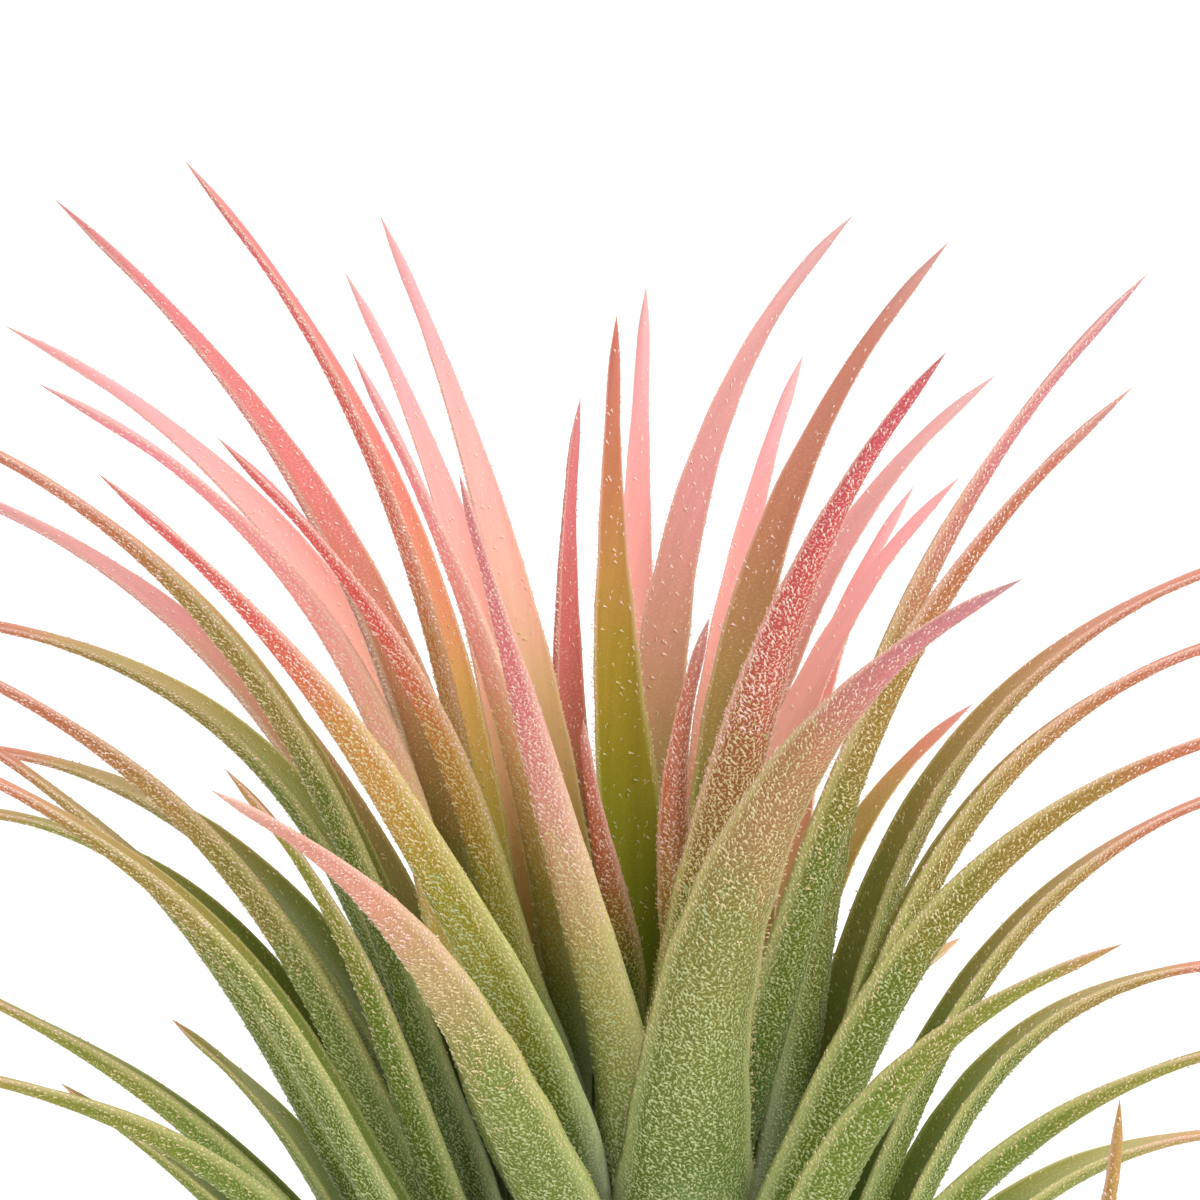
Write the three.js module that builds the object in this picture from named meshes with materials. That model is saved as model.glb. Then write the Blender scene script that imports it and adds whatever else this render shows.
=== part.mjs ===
// A sky plant, an air plant of the bromeliad family: a rosette of stiff, channelled leaves that taper to a
// point, each seated on a short woody stem. The stem's trimmed foot is the flat spot it stands on.
// Millimetres, +Z up, with the origin at the middle of the foot.
import * as THREE from "three";

// The stem: a flat foot, a shoulder that carries the oldest leaves, and a cone up to the growing point.
const FOOT_RADIUS = 4.0;
const SHOULDER_RADIUS = 5.4;
const SHOULDER_HEIGHT = 3.5;
const STEM_TOP_RADIUS = 1.0;
const STEM_HEIGHT = 23;
const STEM_SIDES = 28;

// The leaves' roots stand on the stem between these heights, the youngest highest, and closer together lower
// down, where the stem has more room for them.
const TOP_ROOT_HEIGHT = 22.5;
const LOW_ROOT_HEIGHT = 2.2;
const ROOT_CROWDING = 0.7;

// The blade: its section is a channel that is widest low down and closes to a needle at the tip.
const BLADE_THICKNESS = 1.1;
const SLIM_BLADE_SHARE = 0.34;
const TIP_THICKNESS = 0.6;
const TIP_WIDTH = 0.65;
const WIDEST_AT = 0.16;
const WIDTH_TAPER = 1.15;
const THICKNESS_TAPER = 0.7;
const CHANNEL_SHARE = 0.3;
const CHANNEL_ENDS_AT = 0.33;
const ROOT_WIDTH_SHARE = 0.8;
const ROOT_THICKNESS_SHARE = 0.75;
const ROOT_CHANNEL_SHARE = 0.1;
const LEAF_RINGS = 12;
const LAST_RING_AT = 0.95;

// The blade's section, in shares of its half width, of its channel's depth and of its thickness.
const KEEL = { across: 0, deep: 0, thick: -0.6 };
const FLANK = { across: 0.55, deep: 0.3, thick: -0.5 };
const MARGIN = { across: 1, deep: 1, thick: 0 };
const CHANNEL_FLOOR = { across: 0, deep: 0, thick: 0.4 };

// The room kept between neighbours, and how the leaves are bent clear of each other, by rows of small balls
// that stand for the blade.
const SEAT_GAP = 0.3;
const LEAF_GAP = 0.34;
const WIDE_GAP = 1.2;
const CLOSING_SHARE = 0.6;
const BENDING_ROUNDS = 400;
const STIFFNESS = 0.012;
const BALL_ROWS = 56;
const MARGIN_BALL = 0.25;
const CELL = BLADE_THICKNESS + WIDE_GAP;
const CELLS_PER_SIDE = 1000;

const STEM_COLOUR = 0x8a7458;
const LEAF_COLOURS = {
  heart: 0xc9694f,
  inner: 0xc8705a,
  middle: 0xa98452,
  outer: 0x8f9450,
  lower: 0x87a05c,
  skirt: 0x9aa878,
};

// Each leaf: its name, the way its root and its tip lie seen from above (degrees from +X), how far the tip
// reaches from the stem's axis and how high it ends (mm), how far the leaf leans from upright at its root
// (degrees), the share of its length at which it bends away, and the width of its blade (mm). The list goes
// from the growing point out to the oldest leaves.
const LEAVES = [
  ["heart_leaf_1", 225, 228, 4.0, 43, 4, 0.6, 2.5],
  ["heart_leaf_2", -83, -40, 4.7, 47.5, 4, 0.6, 2.7],
  ["heart_leaf_3", 110, 100, 6.1, 60.5, 8, 0.6, 4.4],
  ["inner_leaf_1", -78, -12, 14, 60, 5, 0.62, 4.3],
  ["inner_leaf_2", 66, 22, 15.6, 64, 4, 0.68, 4.0],
  ["inner_leaf_3", 180, 163, 14, 59, 4, 0.6, 3.8],
  ["inner_leaf_4", 210, 221, 10.8, 55, 6, 0.66, 4.7],
  ["inner_leaf_5", 196, 185, 19.5, 55.7, 8, 0.64, 4.0],
  ["inner_leaf_6", 123, 99, 18, 55, 14, 0.6, 3.8],
  ["inner_leaf_7", 110, 64, 24.4, 63.5, 9, 0.7, 4.1],
  ["inner_leaf_8", 124, 120, 25.5, 63.5, 8, 0.62, 4.1],
  ["inner_leaf_9", 163, 147, 26, 67, 4, 0.63, 4.1],
  ["middle_leaf_1", 215, 193, 25, 54.8, 12, 0.58, 5.0],
  ["middle_leaf_2", 195, 178, 27.5, 58, 4, 0.68, 4.2],
  ["middle_leaf_3", 142, 145, 35, 64.5, 9, 0.58, 4.4],
  ["middle_leaf_4", -28, -12, 22.6, 58.6, 7, 0.66, 4.2],
  ["middle_leaf_5", -8, 14, 24.5, 62.5, 6, 0.65, 4.2],
  ["middle_leaf_6", -80, -42, 22.2, 51.6, 8, 0.7, 6.6],
  ["middle_leaf_7", 64, 42, 21, 51.6, 10, 0.7, 4.2],
  ["middle_leaf_8", 60, 58, 26, 50, 12, 0.65, 4.2],
  ["middle_leaf_9", 72, 53, 30, 55.2, 11, 0.7, 4.2],
  ["middle_leaf_10", 78, 74, 31, 55.5, 12, 0.65, 4.4],
  ["middle_leaf_11", 92, 89, 30, 59, 12, 0.65, 4.2],
  ["middle_leaf_12", 118, 118, 31.5, 60, 12, 0.65, 4.4],
  ["middle_leaf_13", 125, 141, 41, 57.5, 14, 0.65, 4.4],
  ["middle_leaf_14", 181, 170, 36, 56.2, 10, 0.7, 4.4],
  ["middle_leaf_15", 239, 233, 30.1, 44.2, 13, 0.57, 5.3],
  ["outer_leaf_1", 139, 153, 39, 51, 16, 0.65, 4.6],
  ["outer_leaf_2", 164, 167, 35.5, 46, 7, 0.74, 4.6],
  ["outer_leaf_3", 190, 177, 35.3, 46, 17, 0.66, 4.4],
  ["outer_leaf_4", 208, 190, 34.4, 42.9, 23, 0.64, 4.7],
  ["outer_leaf_5", 176, 169, 33.7, 41.4, 26, 0.6, 4.4],
  ["outer_leaf_6", 153, 157, 37, 38.3, 20, 0.73, 4.4],
  ["outer_leaf_7", 200, 192, 19.3, 41, 12, 0.65, 4.2],
  ["outer_leaf_8", 162, 161, 36.4, 35.8, 21, 0.74, 4.6],
  ["outer_leaf_9", 65, 47, 24.4, 39.7, 16, 0.7, 4.6],
  ["outer_leaf_10", 16, 15, 32, 49.2, 4, 0.75, 4.8],
  ["outer_leaf_11", -2, 8, 31.3, 46.3, 3, 0.76, 4.8],
  ["outer_leaf_12", -45, -14, 30, 44, 9, 0.72, 4.8],
  ["outer_leaf_13", 6, 12, 31.2, 38.3, 16, 0.75, 4.4],
  ["outer_leaf_14", -60, -36, 26, 35.5, 16, 0.64, 4.7],
  ["outer_leaf_15", 10, 14, 30.8, 29.2, 15, 0.72, 4.6],
  ["lower_leaf_1", 205, 194, 35, 28.4, 28, 0.59, 4.8],
  ["lower_leaf_2", 187, 178, 34, 30.5, 31, 0.56, 5.0],
  ["lower_leaf_3", 157, 155, 25, 25.5, 30, 0.58, 4.8],
  ["lower_leaf_4", 172, 170, 28, 23.8, 42, 0.5, 4.8],
  ["lower_leaf_5", -25, -14, 30.4, 29.2, 24, 0.7, 4.8],
  ["lower_leaf_6", 20, 21, 33, 19.5, 36, 0.66, 4.8],
  ["lower_leaf_7", -35, -22, 23.3, 26.8, 80, 0.7, 3.8],
  ["lower_leaf_8", 62, 60, 34, 25, 30, 0.64, 5.0],
  ["lower_leaf_9", 112, 112, 34, 27, 28, 0.64, 5.0],
  ["lower_leaf_10", -62, -60, 32, 18, 34, 0.64, 5.2],
  ["lower_leaf_11", -118, -120, 32, 20, 32, 0.64, 5.2],
  ["skirt_leaf_1", 88, 88, 32, 0.3, 42, 0.62, 5.0],
  ["skirt_leaf_2", 138, 138, 32, 0.3, 44, 0.6, 5.0],
  ["skirt_leaf_3", -90, -88, 32, 0.3, 44, 0.6, 5.2],
  ["skirt_leaf_4", 210, 208, 30.5, 0.3, 48, 0.6, 5.0],
  ["skirt_leaf_5", 38, 38, 30.5, 0.3, 48, 0.6, 5.0],
  ["skirt_leaf_6", -42, -42, 29.5, 0.3, 50, 0.6, 5.0],
];

const radians = THREE.MathUtils.degToRad;
const mix = THREE.MathUtils.lerp;
const up = new THREE.Vector3(0, 0, 1);

function headingAt(degrees) {
  return new THREE.Vector3(Math.cos(radians(degrees)), Math.sin(radians(degrees)), 0);
}

function stemRadius(height) {
  if (height < SHOULDER_HEIGHT) return mix(FOOT_RADIUS, SHOULDER_RADIUS, height / SHOULDER_HEIGHT);
  const share = Math.min(1, (height - SHOULDER_HEIGHT) / (STEM_HEIGHT - SHOULDER_HEIGHT));
  return mix(SHOULDER_RADIUS, STEM_TOP_RADIUS, share);
}

// How wide, thick and deeply channelled a leaf is at a share u of its length.
function bladeAt(leaf, u) {
  const swell = Math.min(1, u / WIDEST_AT);
  const taper = u < WIDEST_AT ? 1 : 1 - (u - WIDEST_AT) / (1 - WIDEST_AT);
  const width = mix(TIP_WIDTH, leaf.width, taper ** WIDTH_TAPER) * mix(ROOT_WIDTH_SHARE, 1, swell);
  const full = Math.min(BLADE_THICKNESS, leaf.width * SLIM_BLADE_SHARE) * mix(ROOT_THICKNESS_SHARE, 1, swell);
  const thickness = mix(TIP_THICKNESS, Math.max(TIP_THICKNESS, full), taper ** THICKNESS_TAPER);
  const channelShare = mix(ROOT_CHANNEL_SHARE, CHANNEL_SHARE, swell) * Math.min(1, taper / CHANNEL_ENDS_AT);
  return { half: width / 2, thickness, channel: width * channelShare };
}

// A leaf starts out as one smooth bend from its root, along its own lean, over to its tip.
function startLeaf([name, rootTurn, tipTurn, reach, height, lean, bendShare, width], order) {
  const away = headingAt(rootTurn);
  const tip = headingAt(tipTurn).multiplyScalar(reach).setZ(height);
  const down = (order / (LEAVES.length - 1)) ** ROOT_CROWDING;
  const rootHeight = mix(TOP_ROOT_HEIGHT, LOW_ROOT_HEIGHT, down);
  const leaf = { name, away, lean: radians(lean), width };
  const root = away.clone().multiplyScalar(seatDistance(leaf, rootHeight)).setZ(rootHeight);
  const rise = away.clone().multiplyScalar(Math.sin(leaf.lean)).addScaledVector(up, Math.cos(leaf.lean));
  const bend = root.clone().addScaledVector(rise, root.distanceTo(tip) * bendShare);
  leaf.ownSpine = new THREE.QuadraticBezierCurve3(root, bend, tip).getSpacedPoints(LEAF_RINGS - 1);
  leaf.spine = leaf.ownSpine.map((point) => point.clone());
  return leaf;
}

// A root hugs the stem where its leaf is upright, and stands on it end on where the leaf lies flat.
function seatDistance(leaf, height) {
  return stemRadius(height) + SEAT_GAP + (BLADE_THICKNESS / 2) * Math.cos(leaf.lean);
}

// Stations along a leaf, up to a share of its length: where each is, the direction across the blade, and the
// one out of its channelled face. The face looks at the stem at the root, and follows the bend untwisted.
function stationsOf(leaf, count, endShare) {
  const curve = new THREE.CatmullRomCurve3(leaf.spine);
  const stations = [];
  let face = leaf.away.clone().negate();
  for (let i = 0; i <= count; i++) {
    const u = (endShare * i) / count;
    const along = curve.getTangent(u);
    face = face.clone().addScaledVector(along, -face.dot(along)).normalize();
    const across = along.clone().cross(face);
    stations.push({ u, centre: curve.getPoint(u), across, face, ...bladeAt(leaf, u) });
  }
  return stations;
}

// The balls that stand for the blade while the leaves are pushed apart: a row on the midrib, one half way out
// on each side, and one on each margin.
function ballsOf(leaf) {
  const balls = [];
  for (const { u, centre, across, face, half, thickness, channel } of stationsOf(leaf, BALL_ROWS, 1)) {
    const rows = [
      { side: 0, lift: -0.1 * thickness, radius: 0.5 * thickness },
      { side: 0.5, lift: 0.15 * channel - 0.1 * thickness, radius: 0.42 * thickness },
      { side: 1, lift: channel - MARGIN_BALL, radius: MARGIN_BALL },
    ];
    for (const { side, lift, radius } of rows)
      for (const hand of side ? [-1, 1] : [1]) {
        const place = centre.clone().addScaledVector(across, hand * side * (half - MARGIN_BALL));
        balls.push({ leaf, u, place: place.addScaledVector(face, lift), radius, push: new THREE.Vector3() });
      }
  }
  return balls;
}

function cellOf(place) {
  return place.toArray().map((v) => Math.floor(v / CELL) + CELLS_PER_SIDE / 2);
}

function cellKey(x, y, z) {
  return (x * CELLS_PER_SIDE + y) * CELLS_PER_SIDE + z;
}

function neighboursOf(ball, cells) {
  const [x, y, z] = cellOf(ball.place);
  const found = [];
  for (const i of [x - 1, x, x + 1])
    for (const j of [y - 1, y, y + 1])
      for (const k of [z - 1, z, z + 1])
        found.push(...(cells.get(cellKey(i, j, k)) ?? []));
  return found.filter((other) => other.leaf !== ball.leaf);
}

function pushApart(ball, other, gap) {
  const away = ball.place.clone().sub(other.place);
  const short = ball.radius + other.radius + gap - away.length();
  if (short > 0) ball.push.addScaledVector(away.normalize(), short / 2);
}

function pushOffStem(ball) {
  const out = ball.place.clone().setZ(0);
  const short = stemRadius(ball.place.z) + SEAT_GAP + ball.radius - out.length();
  if (short > 0 && ball.place.z < STEM_HEIGHT) ball.push.addScaledVector(out.normalize(), short);
}

// Each place's value moved part of the way to the mean of the two beside it.
function evenOut(values, share) {
  return values.map((value, i) => {
    const before = values[Math.max(0, i - 1)];
    const after = values[Math.min(values.length - 1, i + 1)];
    return value.clone().lerp(before.clone().lerp(after, 0.5), share);
  });
}

// Moves a leaf's spine by half of what its balls were pushed. Its stiffness keeps the bend even, and its root
// goes back to the stem.
function bendLeaf(leaf, balls) {
  const moves = leaf.spine.map(() => ({ sum: new THREE.Vector3(), weight: Number.EPSILON }));
  for (const ball of balls) {
    if (ball.push.lengthSq() === 0) continue;
    const at = ball.u * (LEAF_RINGS - 1);
    const below = Math.min(LEAF_RINGS - 2, Math.floor(at));
    for (const [i, weight] of [[below, below + 1 - at], [below + 1, at - below]]) {
      moves[i].sum.addScaledVector(ball.push, weight);
      moves[i].weight += weight;
    }
  }
  const steps = moves.map(({ sum, weight }) => sum.multiplyScalar(0.5 / weight));
  const evenSteps = evenOut(evenOut(steps, 0.5), 0.5);
  const shifts = evenSteps.map((step, i) => step.add(leaf.spine[i]).sub(leaf.ownSpine[i]));
  leaf.spine = evenOut(shifts, STIFFNESS).map((shift, i) => shift.add(leaf.ownSpine[i]));
  const root = leaf.spine[0];
  root.z = THREE.MathUtils.clamp(root.z, LOW_ROOT_HEIGHT, STEM_HEIGHT);
  const seat = seatDistance(leaf, root.z) / Math.hypot(root.x, root.y);
  root.x *= seat;
  root.y *= seat;
}

// Leaves that would cross are bent clear of each other, as crowded leaves push each other aside. They begin
// by keeping a wide distance, which sorts them, and close up to the last gap.
function bendClear(leaves) {
  for (let round = 0; round < BENDING_ROUNDS; round++) {
    const gap = mix(WIDE_GAP, LEAF_GAP, Math.min(1, round / (BENDING_ROUNDS * CLOSING_SHARE)));
    const ballsByLeaf = leaves.map(ballsOf);
    const cells = new Map();
    for (const ball of ballsByLeaf.flat()) {
      const key = cellKey(...cellOf(ball.place));
      if (!cells.has(key)) cells.set(key, []);
      cells.get(key).push(ball);
    }
    for (const ball of ballsByLeaf.flat()) {
      for (const other of neighboursOf(ball, cells)) pushApart(ball, other, gap);
      pushOffStem(ball);
    }
    leaves.forEach((leaf, i) => bendLeaf(leaf, ballsByLeaf[i]));
  }
}

// A leaf's solid: six-cornered rings along its spine, closed by a flat root and a point.
function leafGeometry(leaf) {
  const rings = stationsOf(leaf, LEAF_RINGS - 1, LAST_RING_AT).map((station) => {
    const cornerAt = (corner, hand) => {
      const aside = hand * corner.across * station.half;
      const height = corner.deep * station.channel + corner.thick * station.thickness;
      const place = station.centre.clone().addScaledVector(station.across, aside);
      return place.addScaledVector(station.face, height);
    };
    return [
      cornerAt(MARGIN, -1),
      cornerAt(FLANK, -1),
      cornerAt(KEEL, 1),
      cornerAt(FLANK, 1),
      cornerAt(MARGIN, 1),
      cornerAt(CHANNEL_FLOOR, 1),
    ];
  });
  const corners = rings[0].length;
  const rootSum = rings[0].reduce((sum, corner) => sum.add(corner), new THREE.Vector3());
  const points = [...rings.flat(), rootSum.divideScalar(corners), leaf.spine.at(-1)];
  const rootMiddleIndex = points.length - 2;
  const tipIndex = points.length - 1;
  const lastRing = (rings.length - 1) * corners;
  const triangles = [];
  for (let j = 0; j < corners; j++) {
    const next = (j + 1) % corners;
    for (let ring = 0; ring < lastRing; ring += corners) {
      triangles.push(ring + j, ring + next + corners, ring + next);
      triangles.push(ring + j, ring + j + corners, ring + next + corners);
    }
    triangles.push(rootMiddleIndex, j, next);
    triangles.push(tipIndex, lastRing + next, lastRing + j);
  }
  const geometry = new THREE.BufferGeometry().setFromPoints(points);
  geometry.setIndex(triangles);
  geometry.computeVertexNormals();
  return geometry;
}

function makeStem() {
  const profile = [
    [0, 0],
    [FOOT_RADIUS, 0],
    [SHOULDER_RADIUS, SHOULDER_HEIGHT],
    [mix(SHOULDER_RADIUS, STEM_TOP_RADIUS, 0.5), mix(SHOULDER_HEIGHT, STEM_HEIGHT, 0.5)],
    [STEM_TOP_RADIUS, STEM_HEIGHT],
    [0, STEM_HEIGHT + STEM_TOP_RADIUS],
  ].map(([radius, height]) => new THREE.Vector2(radius, height));
  const geometry = new THREE.LatheGeometry(profile, STEM_SIDES).rotateX(Math.PI / 2);
  const bark = new THREE.MeshStandardMaterial({ color: STEM_COLOUR, roughness: 0.9 });
  const mesh = new THREE.Mesh(geometry, bark);
  mesh.name = "stem";
  return mesh;
}

function makeLeaf(leaf) {
  const [group] = leaf.name.split("_");
  const material = new THREE.MeshStandardMaterial({ color: LEAF_COLOURS[group], roughness: 0.7 });
  const mesh = new THREE.Mesh(leafGeometry(leaf), material);
  mesh.name = leaf.name;
  return mesh;
}

const leaves = LEAVES.map(startLeaf);
bendClear(leaves);

const plant = new THREE.Group();
plant.add(makeStem(), ...leaves.map(makeLeaf));

export default plant;
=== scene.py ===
import math
import random

import bmesh
import bpy
import numpy as np
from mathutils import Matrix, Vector


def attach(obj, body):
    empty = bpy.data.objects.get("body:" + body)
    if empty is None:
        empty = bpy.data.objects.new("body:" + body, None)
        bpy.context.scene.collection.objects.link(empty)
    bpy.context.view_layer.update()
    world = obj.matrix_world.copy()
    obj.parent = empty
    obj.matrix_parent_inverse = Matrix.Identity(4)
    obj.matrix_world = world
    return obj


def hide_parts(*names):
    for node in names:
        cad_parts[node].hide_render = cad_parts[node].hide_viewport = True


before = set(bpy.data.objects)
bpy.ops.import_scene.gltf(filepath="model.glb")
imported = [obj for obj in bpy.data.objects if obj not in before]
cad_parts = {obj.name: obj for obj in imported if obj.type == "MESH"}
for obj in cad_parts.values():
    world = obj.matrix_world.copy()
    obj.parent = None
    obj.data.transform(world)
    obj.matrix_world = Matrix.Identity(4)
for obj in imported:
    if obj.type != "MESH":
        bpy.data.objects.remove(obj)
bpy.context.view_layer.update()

# The camera looks at the rosette from the front and a little above, close up and through a long lens,
# so that the young leaves fill the picture and the oldest ones run out of it below.
MM = 0.001
NEAREST_SEEN = 10 * MM
FURTHEST_SEEN = 20
CAMERA_HEIGHT_ANGLE = math.radians(10)
CAMERA_DISTANCE = 250 * MM
LOOKED_AT = Vector((-1.84, 0, 48)) * MM
PICTURE_WIDTH_THERE = 55.2 * MM
SENSOR_WIDTH_MM = 36

camera_data = bpy.data.cameras.new("camera")
camera_data.sensor_width = SENSOR_WIDTH_MM
camera_data.lens = SENSOR_WIDTH_MM * CAMERA_DISTANCE / PICTURE_WIDTH_THERE
camera_data.clip_start = NEAREST_SEEN
camera_data.clip_end = FURTHEST_SEEN
camera = bpy.data.objects.new("camera", camera_data)
backwards = Vector((0, -math.cos(CAMERA_HEIGHT_ANGLE), math.sin(CAMERA_HEIGHT_ANGLE)))
camera.location = LOOKED_AT + CAMERA_DISTANCE * backwards
camera.rotation_euler = backwards.to_track_quat("Z", "Y").to_euler()
bpy.context.scene.collection.objects.link(camera)
bpy.context.scene.camera = camera


# The stem is a short woody stub, dry outside, with the fibres and the scars of the leaves that it has shed.
# It carries every leaf, and it was cut off flat below, so that the plant stands on it.
def linear(hex_colour, alpha=1.0):
    """An sRGB hex colour as the linear numbers that a shader takes."""
    shares = [int(hex_colour[i : i + 2], 16) / 255 for i in (1, 3, 5)]
    return [s / 12.92 if s <= 0.04045 else ((s + 0.055) / 1.055) ** 2.4 for s in shares] + [alpha]


def add(tree, kind, inputs=None, **settings):
    """Adds a node. A socket given as an input is linked, and any other value is set on its socket."""
    node = tree.nodes.new(kind)
    for setting, value in settings.items():
        setattr(node, setting, value)
    for name, value in (inputs or {}).items():
        if isinstance(value, bpy.types.NodeSocket):
            tree.links.new(value, node.inputs[name])
        else:
            node.inputs[name].default_value = value
    return node


def colour_steps(node, steps):
    """Sets the steps of a colour ramp: (place, hex colour) each, in order."""
    ramp = node.color_ramp
    while len(ramp.elements) < len(steps):
        ramp.elements.new(0.5)
    for element, (place, hex_colour) in zip(ramp.elements, steps):
        element.position = place
        element.color = linear(hex_colour)
    return node.outputs["Color"]


def new_material(name):
    """An empty material, its node tree and the shader that its surface wears."""
    material = bpy.data.materials.new(name)
    material.use_nodes = True
    tree = material.node_tree
    return material, tree, tree.nodes["Principled BSDF"]


STEM_RINGS = 40
STEM_SIDES = 96
RINGS_CROWD_AT_FOOT = 1.5
RIDGE_SETS = 9
RIDGES_IN_A_SET = (5, 40)
RIDGE_STRENGTHS = (0.3, 1)
RIDGE_SLANT_PER_MM = 0.6
FULL_RELIEF = 4
BARK_RELIEF = 0.12 * MM
STEM_SEED = 4
FIBRE_WIDTH = 0.35 * MM
FIBRE_WIDTH_TO_LENGTH = 0.15
FIBRE_RELIEF = 0.1 * MM
STEM_COLOURS = [(0.3, "#4A3420"), (0.5, "#7A5B3A"), (0.7, "#A48A62")]

# Dry plant fibre: rough all over, in strands that run up the stem.
dry_stem, tree, shader = new_material("dry_stem_fibre")
coordinates = add(tree, "ShaderNodeTexCoord")
up_the_stem = add(
    tree,
    "ShaderNodeMapping",
    {"Vector": coordinates.outputs["Object"], "Scale": (1, 1, FIBRE_WIDTH_TO_LENGTH)},
)
strands = add(
    tree, "ShaderNodeTexNoise", {"Vector": up_the_stem.outputs[0], "Scale": 1 / FIBRE_WIDTH, "Detail": 4}
)
ramp = add(tree, "ShaderNodeValToRGB", {"Fac": strands.outputs["Fac"]})
tree.links.new(colour_steps(ramp, STEM_COLOURS), shader.inputs["Base Color"])
relief = add(
    tree, "ShaderNodeBump", {"Height": strands.outputs["Fac"], "Distance": FIBRE_RELIEF, "Strength": 0.8}
)
tree.links.new(relief.outputs["Normal"], shader.inputs["Normal"])
shader.inputs["Roughness"].default_value = 0.85


def mesh_object(name, points, faces, material):
    """A smooth mesh object at the origin."""
    mesh = bpy.data.meshes.new(name)
    mesh.from_pydata([tuple(p) for p in points], [], faces)
    mesh.materials.append(material)
    mesh.shade_smooth()
    piece = bpy.data.objects.new(name, mesh)
    bpy.context.scene.collection.objects.link(piece)
    return piece


def stem_outline():
    """The radius and height of the stem's solid from its foot to its top, each corner once."""
    corners = {}
    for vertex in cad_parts["stem"].data.vertices:
        corners[round(vertex.co.z, 6)] = max(
            corners.get(round(vertex.co.z, 6), 0), math.hypot(vertex.co.x, vertex.co.y)
        )
    heights = sorted(corners)
    return [corners[h] for h in heights], heights


radii, heights = stem_outline()
rng = random.Random(STEM_SEED)
ridges = [
    (rng.randint(*RIDGES_IN_A_SET), rng.uniform(0, math.tau), rng.uniform(*RIDGE_STRENGTHS))
    for _ in range(RIDGE_SETS)
]
points = [(0, 0, heights[0])]
for i in range(STEM_RINGS):
    height = heights[0] + (heights[-1] - heights[0]) * (i / STEM_RINGS) ** RINGS_CROWD_AT_FOOT
    for j in range(STEM_SIDES):
        turn = math.tau * j / STEM_SIDES
        relief_here = sum(
            strength * math.sin(count * turn + phase + height / MM * RIDGE_SLANT_PER_MM)
            for count, phase, strength in ridges
        )
        radius = np.interp(height, heights, radii) - BARK_RELIEF * (1 + relief_here / FULL_RELIEF)
        points.append((radius * math.cos(turn), radius * math.sin(turn), height))
points.append((0, 0, heights[-1]))
faces = []
for j in range(STEM_SIDES):
    after = (j + 1) % STEM_SIDES
    faces.append((0, 1 + after, 1 + j))
    for i in range(STEM_RINGS - 1):
        low = 1 + i * STEM_SIDES
        high = low + STEM_SIDES
        faces.append((low + j, low + after, high + after, high + j))
    last = 1 + (STEM_RINGS - 1) * STEM_SIDES
    faces.append((last + j, last + after, len(points) - 1))
woody_stem = mesh_object("woody_stem", points, faces, dry_stem)
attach(woody_stem, "root")
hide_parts("stem")


# A leaf's blade grew in one piece. It is thick and stiff, with a rounded back, a shallow channel up its inner
# face and thin margins, and it narrows evenly to a fine point. The frame has it as rings of six corners, and
# the smooth blade is drawn through them.
RING_CORNERS = 6
SAME_CORNER = 1e-7
LAST_RING_AT = 0.95
KEEL_SHARE = 0.6
STATIONS = 72
BACK_COLUMNS = 12
FACE_COLUMNS = 8
FINE_POINT_FROM = 0.55
FINE_POINT_SHARE = 0.35
BACK_ROUNDNESS = 0.4
MARGIN_WAVE = 0.025
MARGIN_WAVES = 4
MARGIN_WAVE_TURNS = (20, 90)
GRAIN_SPREAD = 1.1
GRAIN_SPREAD_POWER = 3


def layers_from(start):
    """The corners of a leaf's solid in steps of one edge from a start."""
    layers = [[start]]
    seen = {start}
    while layers[-1]:
        following = {edge.other_vert(v) for v in layers[-1] for edge in v.link_edges} - seen
        seen |= following
        layers.append(list(following))
    return layers[:-1]


def in_turn(ring):
    """A ring's corners in order round the leaf, from the floor of its channel, which is the corner between
    the two that lie furthest apart."""
    loop = [ring[0]]
    while len(loop) < len(ring):
        beside = [edge.other_vert(loop[-1]) for edge in loop[-1].link_edges]
        loop.append(next(v for v in beside if v in ring and v not in loop))
    count = len(loop)

    def opening(i):
        return (loop[i - 1].co - loop[(i + 1) % count].co).length

    floor = max(range(count), key=opening)
    return [loop[(floor + k) % count] for k in range(count)]


def leaf_rings(node):
    """The rings of a leaf's solid from its root to its tip: spine, direction across, direction out of the
    channelled face, half width, thickness and channel depth at each, with the point last."""
    solid = bmesh.new()
    solid.from_mesh(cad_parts[node].data)
    bmesh.ops.remove_doubles(solid, verts=solid.verts, dist=SAME_CORNER)
    for start in solid.verts:
        layers = layers_from(start)
        if len(layers[-1]) == 1 and all(len(layer) == RING_CORNERS for layer in layers[1:-1]):
            break

    def spread(ring):
        return max((a.co - b.co).length for a in ring for b in ring)

    if spread(layers[1]) < spread(layers[-2]):
        layers.reverse()
    tip = layers[-1][0].co.copy()
    rows = []
    for ring, following in zip(layers[1:-1], layers[2:]):
        floor, margin, _, keel, _, other_margin = [v.co for v in in_turn(ring)]
        ahead = sum((v.co for v in following), Vector()) / len(following)
        ahead -= sum((v.co for v in ring), Vector()) / len(ring)
        across = (other_margin - margin).normalized()
        face = (floor - keel).normalized()
        if across.cross(face).dot(ahead) < 0:
            across.negate()
        thickness = (floor - keel).length
        spine = keel + KEEL_SHARE * thickness * face
        depth = ((margin + other_margin) / 2 - spine).dot(face)
        rows.append([*spine, *across, *face, (margin - other_margin).length / 2, thickness, depth])
    rows.append([*tip, *rows[-1][3:9], 0, 0, 0])
    solid.free()
    return np.array(rows)


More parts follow.
